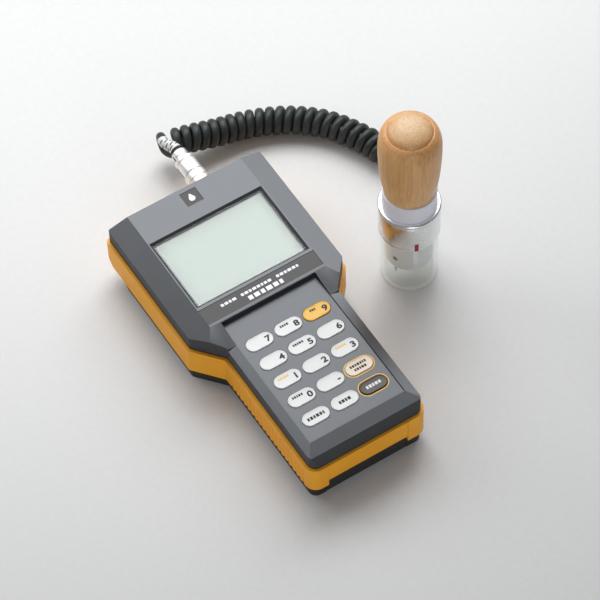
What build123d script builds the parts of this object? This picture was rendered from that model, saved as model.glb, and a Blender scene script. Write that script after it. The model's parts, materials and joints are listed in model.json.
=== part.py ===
from build123d import *
import os
from math import cos, hypot, pi, radians, sin, tan

# Handheld moisture meter with a pin probe on a curly cord. Millimetres, +Z up.
# The origin is the middle of the meter's flat underside. +Y points from the handle to the display
# and +X to the user's right. The probe stands upright beside the display, on its clear guard.

# ---- driving dimensions: the meter's body, in plan -----------------------------------------------
LENGTH = 206.0
FRONT = -LENGTH / 2
REAR = LENGTH / 2
HEAD_HALF = 55.0
HANDLE_HALF = 40.2
NECK_START = FRONT + 93.5
NECK_END = FRONT + 111.4
FRONT_CORNER = 7.5
REAR_CORNER = 3.0
NECK_CORNER = 2.0
SMALLEST_CORNER = 0.8

# ---- heights -------------------------------------------------------------------------------------
FLOOR = 2.5
BAND_LOW = 10.0
BAND_TOP = 30.3
BEVEL_TOP = 17.0
BEVEL_RUN = 7.0
BEVEL_DROP = 7.3
BOARD_LOW = 35.6
BOARD_TOP = 37.2
LEDGE = 37.9
PANEL_LOW = 39.7
PANEL_TOP = 40.6
HANDLE_TOP = 41.5
HANDLE_EDGE = 40.5
HEAD_TOP = 44.3
HEAD_EDGE = 41.0

# ---- how far each shell sits inside the band's outline -------------------------------------------
COVER_INSET = 1.8
BASE_INSET = 2.3
BAND_THICK = 3.4
CASE_INSET = 3.5
WALL = 2.0
COVER_WALL = 3.0
BOARD_INSET = 6.2

# ---- top cover features --------------------------------------------------------------------------
CREASE_X = 39.7
COVER_NECK = FRONT + 92.7
SLOPE_START = FRONT + 110.0
FRONT_CREASE = FRONT + 4.1
KEYPAD_HALF = 32.5
KEYPAD_FRONT = FRONT + 13.2
KEYPAD_REAR = FRONT + 109.6
KEY_BAY_HALF = 29.8
KEY_BAY_FRONT = FRONT + 19.0
KEY_BAY_REAR = FRONT + 96.0
WINDOW_HALF = 37.6
WINDOW_FRONT = FRONT + 127.0
WINDOW_REAR = FRONT + 178.6
WINDOW_FLARE = 1.4
LENS_LOW = 41.7
LENS_TOP = 42.9
LENS_MARGIN = 0.6
LCD_MARGIN = 1.2
LCD_LOW = 38.2
FIT_GAP = 0.1
LABEL_HALF = 40.0
LABEL_FRONT = FRONT + 111.7
LABEL_REAR = FRONT + 123.6
BADGE_HALF = 5.5
BADGE_FRONT = FRONT + 190.4
BADGE_REAR = FRONT + 201.0
PLATE_RECESS = 0.6
PLATE_THICK = 0.35

# ---- keys ----------------------------------------------------------------------------------------
KEY_LENGTH = 17.5
KEY_WIDTH = 9.2
KEY_PITCH_X = 19.66
KEY_PITCH_Y = 15.21
KEY_TOP_ROW = FRONT + 87.73
KEY_TOP = 41.3
MAT_TOP = 38.0
KEY_FLANGE_LOW = 38.6
KEY_FLANGE_TOP = 39.5
KEY_FLANGE = 0.85
KEY_GAP = 0.3
KEY_ROUND = 0.3
KEY_NAMES = [
    ["key_7", "key_8", "key_9"],
    ["key_4", "key_5", "key_6"],
    ["key_1", "key_2", "key_3"],
    ["key_0", "key_minus", "key_enter"],
    ["key_select", "key_offset", "key_power"],
]

# ---- battery bay and its door --------------------------------------------------------------------
BAY_X = -1.1
DOOR_HALF = 27.2
DOOR_GAP = 0.15
DOOR_SPLIT = 15.0
DOOR_DEPTH = 69.0
CELL_RADIUS = 7.1
CELL_HALF = 25.2
CELL_PITCH = 15.2
CELL_FIRST = FRONT + 15.6
CELL_HEIGHT = 10.6
CELL_COUNT = 4
TRAY_TOP = 20.0

# ---- screws that join the shells -----------------------------------------------------------------
SCREW_PLACES = [(34.0, FRONT + 102.0), (46.0, FRONT + 174.0)]
SCREW_RADIUS = 1.5
SCREW_HEAD = 2.8
BOSS_RADIUS = 3.0
COUNTERBORE = 4.0

# ---- rear connector, on an axis along +Y ---------------------------------------------------------
PLUG_X = 17.5
PLUG_Z = 23.4
SOCKET_RADIUS = 5.2
NUT_RADIUS = 6.2
NUT_END = REAR - 7.6
NUT_THICK = 2.4
RING_RADIUS = 6.9
RING_START = REAR + 1.8
RING_END = REAR + 16.0
BARREL_RADIUS = 6.7
BARREL_STEP = REAR + 28.4
BARREL_TAIL = 5.1
BARREL_END = REAR + 35.0
NOSE_RADIUS = 4.2
GLAND_RING_RADIUS = 4.3
SLEEVE_START = BARREL_END + 3.0
SLEEVE_END = SLEEVE_START + 7.9

# ---- probe, on a vertical axis -------------------------------------------------------------------
PROBE = (97.5, 4.5)
GUARD_OUTER = 17.2
GUARD_INNER = 14.8
GUARD_TOP = 49.0
GUARD_SLOT = (24.0, 46.5)
SLOT_HALF = 1.6
BLOCK_RADIUS = 14.5
BLOCK_LOW = 18.0
HOUSING_RADIUS = 18.5
HOUSING_BORE = 17.5
HOUSING_LOW = 43.0
HOUSING_CEILING = 61.4
HOUSING_TOP = 64.4
FLANGE_RADIUS = 19.0
FLANGE_TOP = 68.5
COLLAR_RADIUS = 16.8
COLLAR_TOP = 82.3
GRIP_TOP = 142.0
BOLT_RADIUS = 3.0
NEEDLE_RADIUS = 0.9
NEEDLE_SPREAD = 9.5
NEEDLE_TIP = 3.0
MARK_ANGLE = 250.0
CLAMP_ANGLE = 201.0
GLAND_ANGLE = 57.35
GLAND_DROP = 40.0
GLAND_RADIUS = 3.9
GLAND_LENGTH = 13.0
GLAND_START = (16.0, 76.5)
GLAND_ROOT = 3.0

# ---- curly cord: wire, coil and the routes of its three stretches --------------------------------
CORD = 5.8
COIL_RADIUS = 9.1
PLUG_LEAD = [
    (17.5, 148.9, 23.4),
    (17.1, 154.2, 23.3),
    (16.7, 157.9, 19.6),
    (16.4, 157.9, 14.4),
    (16.4, 154.2, 10.7),
    (17.0, 149.0, 10.6),
    (20.0, 145.7, 11.8),
    (25.4, 145.2, 13.2),
]
COIL_ROUTE = [
    (26.5, 149.4, 17.8),
    (47.0, 146.0, 13.0),
    (69.0, 143.6, 9.25),
    (91.5, 133.4, 9.2),
    (110.0, 118.0, 9.2),
    (120.9, 99.5, 9.2),
    (127.9, 83.0, 9.2),
    (127.5, 70.8, 9.2),
]
PROBE_LEAD = [
    (127.4, 70.2, 9.2),
    (125.2, 58.0, 9.8),
    (122.2, 48.6, 17.0),
    (119.7, 41.9, 30.0),
    (118.4, 38.6, 46.0),
    (115.7, 32.9, 61.7),
]

os.makedirs("parts", exist_ok=True)


# ---- helpers -------------------------------------------------------------------------------------
def save(name, shape):
    """Write one sub-part as a STEP file."""
    export_step(shape, f"parts/{name}.step")


def block(x0, x1, y0, y1, z0, z1):
    """A box between two corners."""
    centre = Pos((x0 + x1) / 2, (y0 + y1) / 2, (z0 + z1) / 2)
    return centre * Box(x1 - x0, y1 - y0, z1 - z0)


def wide_block(half, y0, y1, z0, z1):
    """A box that is centred on the body's middle."""
    return block(-half, half, y0, y1, z0, z1)


def rod(radius, low, high, x=0.0, y=0.0):
    """An upright cylinder between two heights."""
    return Pos(x, y, (low + high) / 2) * Cylinder(radius, high - low)


def cross_rod(radius, half, y, z):
    """A cylinder along X through the battery bay's middle."""
    return Pos(BAY_X, y, z) * Rot(0, 90, 0) * Cylinder(radius, 2 * half)


def shave(solid, point, normal):
    """Cut away what lies on the normal's side of a plane."""
    return split(solid, bisect_by=Plane(origin=point, z_dir=normal), keep=Keep.BOTTOM)


def outline(inset):
    """The body's plan, moved inwards by inset, with rounded corners."""
    run = HEAD_HALF - HANDLE_HALF
    rise = NECK_END - NECK_START
    shift = inset * (hypot(run, rise) - rise) / run
    right = [
        (HANDLE_HALF - inset, FRONT + inset),
        (HANDLE_HALF - inset, NECK_START + shift),
        (HEAD_HALF - inset, NECK_END + shift),
        (HEAD_HALF - inset, REAR - inset),
    ]
    left = [(-x, y) for x, y in reversed(right)]
    face = Polygon(*right, *left, align=None)
    corners = [
        (FRONT - 1, FRONT + 20, max(FRONT_CORNER - inset, SMALLEST_CORNER)),
        (REAR - 20, REAR + 1, max(REAR_CORNER - inset, SMALLEST_CORNER)),
        (NECK_START - 1, NECK_END + 5, NECK_CORNER),
    ]
    for low, high, radius in corners:
        chosen = face.vertices().filter_by(lambda v: low < v.Y < high)
        face = fillet(chosen, radius)
    return face


def slab(inset, low, high):
    """The body's plan between two heights, with the sloping underside at its rear."""
    solid = Pos(0, 0, low) * extrude(outline(inset), high - low)
    slope = hypot(BEVEL_RUN, BEVEL_DROP)
    normal = (0, BEVEL_DROP / slope, -BEVEL_RUN / slope)
    corner = (0, REAR - inset * normal[1], BEVEL_TOP - inset * normal[2])
    return shave(solid, corner, normal)


def turned(points):
    """A solid turned about Z from (radius, height) points."""
    return revolve(Plane.XZ * Polygon(*points, align=None), Axis.Z)


def at_probe(shape):
    """Move a shape made about the Z axis to the probe's axis."""
    return Pos(PROBE[0], PROBE[1], 0) * shape


def tube(outer, inner, low, high):
    """An upright tube about Z."""
    return turned([(inner, low), (outer, low), (outer, high), (inner, high)])


def plug_piece(points):
    """A solid turned about the rear connector's axis from (radius, y) points."""
    turned_piece = revolve(Polygon(*points, align=None), Axis.Y)
    return Pos(PLUG_X, 0, PLUG_Z) * turned_piece


def plug_tube(outer, inner, start, end):
    """A tube about the rear connector's axis."""
    return plug_piece([(inner, start), (outer, start), (outer, end), (inner, end)])


def connector_hole():
    """The round hole through the rear wall for the probe's socket."""
    return plug_tube(SOCKET_RADIUS + 0.1, 0, REAR - 12, REAR + 1)


def door_space(y0, y1, z0, z1, gap=0.0):
    """The width of the battery door, less a gap on each side."""
    return block(BAY_X - DOOR_HALF + gap, BAY_X + DOOR_HALF - gap, y0, y1, z0, z1)


def radial(angle):
    """Turn a shape made towards +X to an angle about Z."""
    return Rot(0, 0, angle)


def side_rod(radius, start, end, height):
    """A cylinder along +X between two distances from the Z axis."""
    return Pos((start + end) / 2, 0, height) * Rot(0, 90, 0) * Cylinder(radius, end - start)


def mirrored(places):
    """Each place and its twin across the body's middle."""
    return [(side * x, y) for x, y in places for side in (-1, 1)]


def routed(points, radius, label):
    """A round bar along straight runs joined by arcs as large as the runs allow."""
    route = [Vector(*p) for p in points]
    radii = []
    for before, here, after in zip(route, route[1:], route[2:]):
        turn = radians((here - before).get_angle(after - here))
        shorter = min((here - before).length, (after - here).length)
        radii.append(0.45 * shorter / tan(turn / 2))
    path = FilletPolyline(*route, radius=radii)
    start = Plane(origin=route[0], z_dir=route[1] - route[0])
    bar = sweep(start * Circle(radius), path=path)
    expected = pi * radius**2 * path.length
    shown = " ".join(f"{r:.1f}" for r in radii)
    print(f"{label}: length {path.length:.1f}, volume ratio {bar.volume / expected:.4f}, radii {shown}")
    return bar


# ---- shells --------------------------------------------------------------------------------------
def make_side_band():
    """The orange band around both sides and the rear, ribbed along the handle."""
    band = slab(0, BAND_LOW, BAND_TOP) - slab(BAND_THICK, 0, BAND_TOP + 1)
    band -= door_space(FRONT - 1, FRONT + 12, 0, BAND_TOP + 1)
    ribs = 20
    pitch = 4.1
    first = FRONT + 9.5
    for side in (-1, 1):
        for n in range(ribs):
            groove = rod(1.25, BAND_LOW - 1, 25.5, side * (HANDLE_HALF + 0.65), first + n * pitch)
            band -= groove
    return band - connector_hole()


def make_bottom_case():
    """The black base and the wall that stands inside the band."""
    case = slab(BASE_INSET, 0, BAND_LOW) + slab(CASE_INSET, 0, BAND_TOP)
    case -= slab(CASE_INSET + WALL, FLOOR, BAND_TOP + 1)
    case -= door_space(FRONT - 1, FRONT + 6.2, -1, BAND_TOP + 1)
    case -= door_space(FRONT - 1, FRONT + DOOR_DEPTH + 0.6, -1, FLOOR + 1, -0.2)
    for x, y in mirrored(SCREW_PLACES):
        case += rod(BOSS_RADIUS + 1.2, 0, BAND_TOP, x, y)
        case -= rod(SCREW_HEAD + 0.1, -1, COUNTERBORE, x, y)
        case -= rod(SCREW_RADIUS + 0.1, 0, BAND_TOP + 1, x, y)
    case += plug_tube(NUT_RADIUS + 0.6, 0, NUT_END, REAR - CASE_INSET - WALL)
    return case - connector_hole()


def make_top_cover():
    """The grey cover: a raised head with sloping facets, and a lower handle."""
    head = slab(COVER_INSET, BAND_TOP, HEAD_TOP)
    head = shave(head, (0, COVER_NECK, 0), (0, -1, 0))
    for side in (-1, 1):
        fall = (HEAD_TOP - HEAD_EDGE) / (HEAD_HALF - COVER_INSET - CREASE_X)
        head = shave(head, (side * CREASE_X, 0, HEAD_TOP), (side * fall, 0, 1))
    drop = (HEAD_TOP - HANDLE_TOP) / (SLOPE_START - COVER_NECK)
    head = shave(head, (0, SLOPE_START, HEAD_TOP), (0, -drop, 1))

    handle = slab(COVER_INSET, BAND_TOP, HANDLE_TOP)
    handle = shave(handle, (0, NECK_END, 0), (0, 1, 0))
    side_fall = (HANDLE_TOP - HANDLE_EDGE) / (HANDLE_HALF - COVER_INSET - KEYPAD_HALF)
    for side in (-1, 1):
        handle = shave(handle, (side * KEYPAD_HALF, 0, HANDLE_TOP), (side * side_fall, 0, 1))
    front_fall = (HANDLE_TOP - HANDLE_EDGE) / (KEYPAD_FRONT - FRONT_CREASE)
    handle = shave(handle, (0, KEYPAD_FRONT, HANDLE_TOP), (0, -front_fall, 1))
    lean = (FRONT_CREASE - FRONT - COVER_INSET) / (HANDLE_EDGE - BAND_TOP)
    handle = shave(handle, (0, FRONT_CREASE, HANDLE_EDGE), (0, -1, lean))

    cover = head + handle
    cover -= slab(COVER_INSET + COVER_WALL, BAND_TOP - 1, LEDGE)
    head_room = slab(COVER_INSET + COVER_WALL + 0.6, LEDGE - 1, HEAD_EDGE - 0.5)
    cover -= shave(head_room, (0, LABEL_FRONT, 0), (0, -1, 0))
    cover -= wide_block(KEYPAD_HALF, KEYPAD_FRONT, KEYPAD_REAR, PANEL_LOW, HEAD_TOP + 1)
    cover -= wide_block(KEY_BAY_HALF, KEY_BAY_FRONT, KEY_BAY_REAR, LEDGE - 1, PANEL_LOW + 1)
    cover -= window_recess()
    plate_low = HEAD_TOP - PLATE_RECESS
    cover -= wide_block(LABEL_HALF, LABEL_FRONT, LABEL_REAR, plate_low, HEAD_TOP + 1)
    cover -= wide_block(BADGE_HALF, BADGE_FRONT, BADGE_REAR, plate_low, HEAD_TOP + 1)
    for x, y in mirrored(SCREW_PLACES):
        ceiling = LEDGE + 0.5 if y < NECK_END else HEAD_EDGE
        cover += rod(BOSS_RADIUS, BAND_TOP, ceiling, x, y)
        cover -= rod(SCREW_RADIUS + 0.05, BAND_TOP - 1, LEDGE - 1, x, y)
    return cover


def window_recess():
    """The flared opening over the display, and the seat of its lens."""
    middle = (WINDOW_FRONT + WINDOW_REAR) / 2
    depth = WINDOW_REAR - WINDOW_FRONT
    flare_low = Plane.XY.offset(LENS_TOP) * Pos(0, middle) * Rectangle(2 * WINDOW_HALF, depth)
    wide = Rectangle(2 * (WINDOW_HALF + WINDOW_FLARE), depth + 2 * WINDOW_FLARE)
    flare_high = Plane.XY.offset(HEAD_TOP + 0.01) * Pos(0, middle) * wide
    flare = loft([flare_low.face(), flare_high.face()])
    front = WINDOW_FRONT - LENS_MARGIN
    rear = WINDOW_REAR + LENS_MARGIN
    seat = wide_block(WINDOW_HALF + LENS_MARGIN, front, rear, LENS_LOW, LENS_TOP)
    view = wide_block(WINDOW_HALF, WINDOW_FRONT, WINDOW_REAR, LEDGE, LENS_LOW + 0.1)
    return flare + seat + view


# ---- display, plates and electronics -------------------------------------------------------------
def make_display_window():
    """The clear lens in its seat."""
    margin = LENS_MARGIN - FIT_GAP
    front = WINDOW_FRONT - margin
    return wide_block(WINDOW_HALF + margin, front, WINDOW_REAR + margin, LENS_LOW, LENS_TOP - 0.05)


def make_lcd_glass():
    """The display's glass, just under the lens."""
    front = WINDOW_FRONT + LCD_MARGIN
    rear = WINDOW_REAR - LCD_MARGIN
    return wide_block(WINDOW_HALF - LCD_MARGIN, front, rear, LCD_LOW, LENS_LOW - 0.2)


def make_lcd_frame():
    """The holder that carries the glass on the main board."""
    reach = 4.0
    outer = wide_block(42, WINDOW_FRONT - reach, WINDOW_REAR + reach, BOARD_TOP, HEAD_EDGE - 0.6)
    margin = LCD_MARGIN - 0.05
    front = WINDOW_FRONT + margin
    return outer - wide_block(WINDOW_HALF - margin, front, WINDOW_REAR - margin, LCD_LOW, HEAD_EDGE)


def make_plate(half, front, rear):
    """A thin plate glued in a shallow recess of the head."""
    low = HEAD_TOP - PLATE_RECESS
    return wide_block(half - FIT_GAP, front + FIT_GAP, rear - FIT_GAP, low, low + PLATE_THICK)


def make_main_board():
    """The circuit board that follows the body's outline."""
    board = slab(BOARD_INSET, BOARD_LOW, BOARD_TOP)
    for x, y in mirrored(SCREW_PLACES):
        board -= rod(BOSS_RADIUS + 0.4, BOARD_LOW - 1, BOARD_TOP + 1, x, y)
    return board


def make_key_mat():
    """The silicone contact mat between the board and the keys."""
    return wide_block(KEY_BAY_HALF - 0.6, KEY_BAY_FRONT + 1, KEY_BAY_REAR - 1, BOARD_TOP, MAT_TOP)


def key_places():
    """Each key's name with the place of its middle."""
    for row, names in enumerate(KEY_NAMES):
        for column, name in enumerate(names):
            yield name, (column - 1) * KEY_PITCH_X, KEY_TOP_ROW - row * KEY_PITCH_Y


def pill(length, width, low, high, x, y):
    """A flat bar with round ends, along X."""
    return Pos(x, y, low) * extrude(SlotOverall(length, width), high - low)


def make_keypad_panel():
    """The panel with one hole for each key."""
    gap = 0.15
    half = KEYPAD_HALF - gap
    panel = wide_block(half, KEYPAD_FRONT + gap, KEYPAD_REAR - gap, PANEL_LOW, PANEL_TOP)
    length = KEY_LENGTH + 2 * KEY_GAP
    width = KEY_WIDTH + 2 * KEY_GAP
    for _, x, y in key_places():
        panel -= pill(length, width, PANEL_LOW - 1, PANEL_TOP + 1, x, y)
    return panel


def make_key(x, y):
    """A key: a pill with a soft rim, on a flange that the panel holds in."""
    cap = pill(KEY_LENGTH, KEY_WIDTH, KEY_FLANGE_LOW, KEY_TOP, x, y)
    cap = fillet(cap.faces().sort_by(Axis.Z)[-1].edges(), KEY_ROUND)
    length = KEY_LENGTH + 2 * KEY_FLANGE
    width = KEY_WIDTH + 2 * KEY_FLANGE
    return cap + pill(length, width, KEY_FLANGE_LOW, KEY_FLANGE_TOP, x, y)


def make_case_screws():
    """The screws that pull the two shells together."""
    screws = []
    for x, y in mirrored(SCREW_PLACES):
        head = rod(SCREW_HEAD, COUNTERBORE - 2.2, COUNTERBORE - 0.05, x, y)
        screws.append(head + rod(SCREW_RADIUS, COUNTERBORE - 1, LEDGE - 1.5, x, y))
    return Compound(children=screws)


# ---- battery bay ---------------------------------------------------------------------------------
def cell_places():
    """The Y place of each battery cell."""
    return [CELL_FIRST + n * CELL_PITCH for n in range(CELL_COUNT)]


def make_battery_tray():
    """The tray whose troughs hold the cells, open downwards."""
    half = DOOR_HALF + 0.1
    tray = block(BAY_X - half, BAY_X + half, FRONT + 7, FRONT + DOOR_DEPTH + 0.5, FLOOR + 0.2, TRAY_TOP)
    for y in cell_places():
        tray -= cross_rod(CELL_RADIUS + 0.25, CELL_HALF + 0.8, y, CELL_HEIGHT)
        width = CELL_RADIUS + 0.25
        reach = CELL_HALF + 0.8
        tray -= block(BAY_X - reach, BAY_X + reach, y - width, y + width, 0, CELL_HEIGHT)
    return tray


def make_battery_cells():
    """Four cells that lie across the handle, each with its raised pole."""
    cells = []
    for n, y in enumerate(cell_places()):
        pole = 1 if n % 2 else -1
        body = cross_rod(CELL_RADIUS, CELL_HALF - 0.6, y, CELL_HEIGHT)
        tip = Pos(pole * (CELL_HALF - 0.3), 0, 0) * cross_rod(2.7, 0.3, y, CELL_HEIGHT)
        cells.append(body + tip)
    return Compound(children=cells)


def make_battery_contacts():
    """A sprung plate at each end of each cell."""
    plates = []
    for y in cell_places():
        for side in (-1, 1):
            x = BAY_X + side * (CELL_HALF + 0.45)
            plates.append(block(x - 0.25, x + 0.25, y - 4, y + 4, CELL_HEIGHT - 4, CELL_HEIGHT + 4))
    return Compound(children=plates)


def make_battery_door():
    """The orange front of the door, in line with the band."""
    ring = slab(0, DOOR_SPLIT, BAND_TOP - DOOR_GAP) - slab(BAND_THICK, 0, BAND_TOP + 1)
    return ring & door_space(FRONT - 1, FRONT + 12, 0, BAND_TOP + 1, DOOR_GAP)


def make_battery_door_base():
    """The black lower front, the floor plate and the upstand that carries the orange front."""
    low = 0.4
    lip = slab(BASE_INSET, low, DOOR_SPLIT) - slab(CASE_INSET + WALL, 0, BAND_TOP)
    upstand = slab(CASE_INSET, low, BAND_TOP - 2) - slab(CASE_INSET + WALL, 0, BAND_TOP)
    front = (lip + upstand) & door_space(FRONT - 1, FRONT + 12, 0, BAND_TOP, DOOR_GAP)
    return front + door_space(FRONT + 4, FRONT + DOOR_DEPTH, low, FLOOR - 0.2, DOOR_GAP)


# ---- rear connector ------------------------------------------------------------------------------
def make_probe_socket():
    """The socket through the rear wall: flange, threaded body and open mouth."""
    flange = plug_tube(7.6, 0, REAR, REAR + 1.4)
    body = plug_tube(SOCKET_RADIUS, 0, REAR - 14, REAR + 8)
    mouth = plug_tube(4.3, 0, REAR + 1.4, REAR + 9)
    return flange + body - mouth


def make_socket_nut():
    """The hexagonal nut that holds the socket from inside."""
    seat = Plane(origin=(PLUG_X, NUT_END - NUT_THICK, PLUG_Z), z_dir=(0, 1, 0))
    nut = extrude(seat * RegularPolygon(NUT_RADIUS, 6), NUT_THICK)
    return nut - plug_tube(SOCKET_RADIUS + 0.02, 0, REAR - 12, REAR - 2)


def make_coupling_ring():
    """The ring that locks the plug to the socket."""
    ring = plug_piece(
        [
            (5.5, RING_START),
            (RING_RADIUS - 0.5, RING_START),
            (RING_RADIUS, RING_START + 0.5),
            (RING_RADIUS, RING_END - 0.8),
            (RING_RADIUS - 0.8, RING_END),
            (4.6, RING_END),
            (4.6, RING_END - 2.5),
            (5.5, RING_END - 2.5),
        ]
    )
    return ring


def make_plug_barrel():
    """The plug's body: the nose that enters the socket, the wide grip and the narrow tail."""
    nose = REAR + 2.6
    return plug_piece(
        [
            (0, nose),
            (NOSE_RADIUS, nose),
            (NOSE_RADIUS, RING_END + 0.3),
            (BARREL_RADIUS - 0.4, RING_END + 0.3),
            (BARREL_RADIUS, RING_END + 0.7),
            (BARREL_RADIUS, BARREL_STEP - 0.5),
            (BARREL_RADIUS - 0.5, BARREL_STEP),
            (BARREL_TAIL, BARREL_STEP),
            (BARREL_TAIL, BARREL_END - 0.6),
            (BARREL_TAIL - 0.6, BARREL_END),
            (0, BARREL_END),
        ]
    )


def make_strain_relief():
    """The tapered sleeve over the cord's first stretch, with ring grooves."""
    sleeve = plug_piece([(0, SLEEVE_START), (3.9, SLEEVE_START), (3.5, SLEEVE_END), (0, SLEEVE_END)])
    for n in range(3):
        y = SLEEVE_START + 1.8 + 2.0 * n
        sleeve -= plug_tube(5, 3.2, y, y + 0.7)
    return sleeve


# ---- probe ---------------------------------------------------------------------------------------
def make_wooden_grip():
    """The turned wooden grip: a body that widens upwards, a groove and a dome."""
    shoulder = [(18.5, 129.0), (17.8, 132.0), (16.8, 134.6), (15.6, 136.2), (14.3, 137.1)]
    side = Spline((15.5, COLLAR_TOP), (17.3, 94.0), (18.3, 105.0), (18.75, 115.0), (18.9, 123.0), *shoulder)
    groove = Polyline((14.3, 137.1), (13.7, 136.8), (13.1, 137.7))
    dome = Spline((13.1, 137.7), (8.0, 140.8), (0, GRIP_TOP), tangents=[(-1.8, 1), (-1, 0)])
    axis = Polyline((0, GRIP_TOP), (0, COLLAR_TOP), (15.5, COLLAR_TOP))
    face = make_face(side.edges() + groove.edges() + dome.edges() + axis.edges())
    grip = revolve(Plane.XZ * face, Axis.Z)
    return at_probe(grip - rod(BOLT_RADIUS + 0.05, COLLAR_TOP - 1, 130))


def make_grip_bolt():
    """The threaded rod that ties the grip, collar, housing and block together."""
    return at_probe(rod(BOLT_RADIUS, 50, 128))


def make_collar():
    """The white collar under the grip."""
    profile = [(0, HOUSING_TOP), (15.9, HOUSING_TOP), (15.9, FLANGE_TOP), (COLLAR_RADIUS, FLANGE_TOP)]
    profile += [(16.2, COLLAR_TOP - 0.5), (15.8, COLLAR_TOP), (0, COLLAR_TOP)]
    collar = turned(profile) - rod(BOLT_RADIUS + 0.05, HOUSING_TOP - 1, COLLAR_TOP + 1)
    return at_probe(collar - gland_bar(GLAND_RADIUS + 0.05))


def make_flange_ring():
    """The polished ring between the collar and the housing."""
    edge = 0.8
    ring = turned(
        [
            (15.95, HOUSING_TOP),
            (FLANGE_RADIUS - edge / 2, HOUSING_TOP),
            (FLANGE_RADIUS, HOUSING_TOP + edge),
            (FLANGE_RADIUS, FLANGE_TOP - edge),
            (FLANGE_RADIUS - edge, FLANGE_TOP),
            (15.95, FLANGE_TOP),
        ]
    )
    return at_probe(ring)


def make_probe_housing():
    """The chrome sleeve that the guard slides up into, closed at its top."""
    housing = tube(HOUSING_RADIUS, HOUSING_BORE, HOUSING_LOW, HOUSING_TOP)
    housing += tube(HOUSING_RADIUS, BOLT_RADIUS + 0.05, HOUSING_CEILING, HOUSING_TOP)
    return at_probe(housing)


def make_index_mark():
    """The red mark on the housing, above the guard's slot."""
    skin = tube(HOUSING_RADIUS + 0.25, HOUSING_RADIUS, HOUSING_LOW + 0.1, HOUSING_LOW + 6.3)
    window = radial(MARK_ANGLE) * block(10, 30, -1.2, 1.2, 0, 100)
    return at_probe(skin & window)


def make_electrode_block():
    """The insulating block that carries the needles, the guide pin and the clamp screw."""
    solid = tube(BLOCK_RADIUS, 0, BLOCK_LOW, HOUSING_CEILING)
    solid -= rod(BOLT_RADIUS + 0.05, 49, HOUSING_CEILING + 1)
    for side in (-1, 1):
        solid -= rod(NEEDLE_RADIUS + 0.05, 0, 32, side * NEEDLE_SPREAD)
    solid -= radial(MARK_ANGLE) * side_rod(1.3, 9, 20, 44.8)
    solid -= radial(CLAMP_ANGLE) * side_rod(1.85, 9, 20, 26)
    return at_probe(solid)


def make_guide_pin():
    """The pin that runs in the guard's slot."""
    return at_probe(radial(MARK_ANGLE) * side_rod(1.25, 9, 17.0, 44.8))


def make_clamp_screw():
    """The screw that clamps a needle, with a hexagonal socket."""
    screw = side_rod(1.75, 9, 14.3, 26)
    key = Plane(origin=(13.0, 0, 26), z_dir=(1, 0, 0)) * RegularPolygon(0.9, 6)
    return at_probe(radial(CLAMP_ANGLE) * (screw - extrude(key, 3)))


def make_needles():
    """The two steel needles, pointed at their lower ends."""
    needles = []
    for side in (-1, 1):
        points = [(0, NEEDLE_TIP), (NEEDLE_RADIUS, NEEDLE_TIP + 3), (NEEDLE_RADIUS, 31.5), (0, 31.5)]
        needles.append(at_probe(Pos(side * NEEDLE_SPREAD, 0, 0) * turned(points)))
    return Compound(children=needles)


def make_needle_nuts():
    """The nut that locks each needle under the block."""
    nuts = []
    for side in (-1, 1):
        nut = extrude(RegularPolygon(3.0, 6), 2.6) - rod(NEEDLE_RADIUS + 0.02, -1, 4)
        nuts.append(at_probe(Pos(side * NEEDLE_SPREAD, 0, BLOCK_LOW - 2.6) * nut))
    return Compound(children=nuts)


def make_clear_guard():
    """The clear tube around the needles, with the slot for the guide pin."""
    guard = tube(GUARD_OUTER, GUARD_INNER, 0, GUARD_TOP)
    low, high = GUARD_SLOT
    slot = block(10, 25, -SLOT_HALF, SLOT_HALF, low + SLOT_HALF, high - SLOT_HALF)
    slot += side_rod(SLOT_HALF, 10, 25, low + SLOT_HALF)
    slot += side_rod(SLOT_HALF, 10, 25, high - SLOT_HALF)
    return at_probe(guard - radial(MARK_ANGLE) * slot)


def make_guard_spring():
    """The coil spring that pushes the guard down."""
    wire = 0.8
    height = HOUSING_CEILING - GUARD_TOP - wire - 0.1
    line = Pos(0, 0, GUARD_TOP + wire / 2 + 0.05) * Helix(height / 3, height, 16.1)
    start = Plane(origin=line @ 0, z_dir=line % 0)
    return at_probe(sweep(start * Circle(wire / 2), path=line))


def gland_bar(radius):
    """A bar along the cable gland's axis, from inside the collar to its mouth."""
    drop = radians(GLAND_DROP)
    heading = Vector(cos(drop), 0, -sin(drop))
    start = Vector(GLAND_START[0], 0, GLAND_START[1]) - heading * GLAND_ROOT
    bar = extrude(Plane(origin=start, z_dir=heading) * Circle(radius), GLAND_LENGTH + GLAND_ROOT)
    return radial(GLAND_ANGLE) * bar


def make_cable_gland():
    """The gland where the cord leaves the probe's collar, sloping down and away."""
    return at_probe(gland_bar(GLAND_RADIUS))


def gland_mouth():
    """The middle of the gland's outer face."""
    drop = radians(GLAND_DROP)
    reach = GLAND_START[0] + GLAND_LENGTH * cos(drop)
    turn = radians(GLAND_ANGLE)
    height = GLAND_START[1] - GLAND_LENGTH * sin(drop)
    return (PROBE[0] + reach * cos(turn), PROBE[1] + reach * sin(turn), height)


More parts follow.
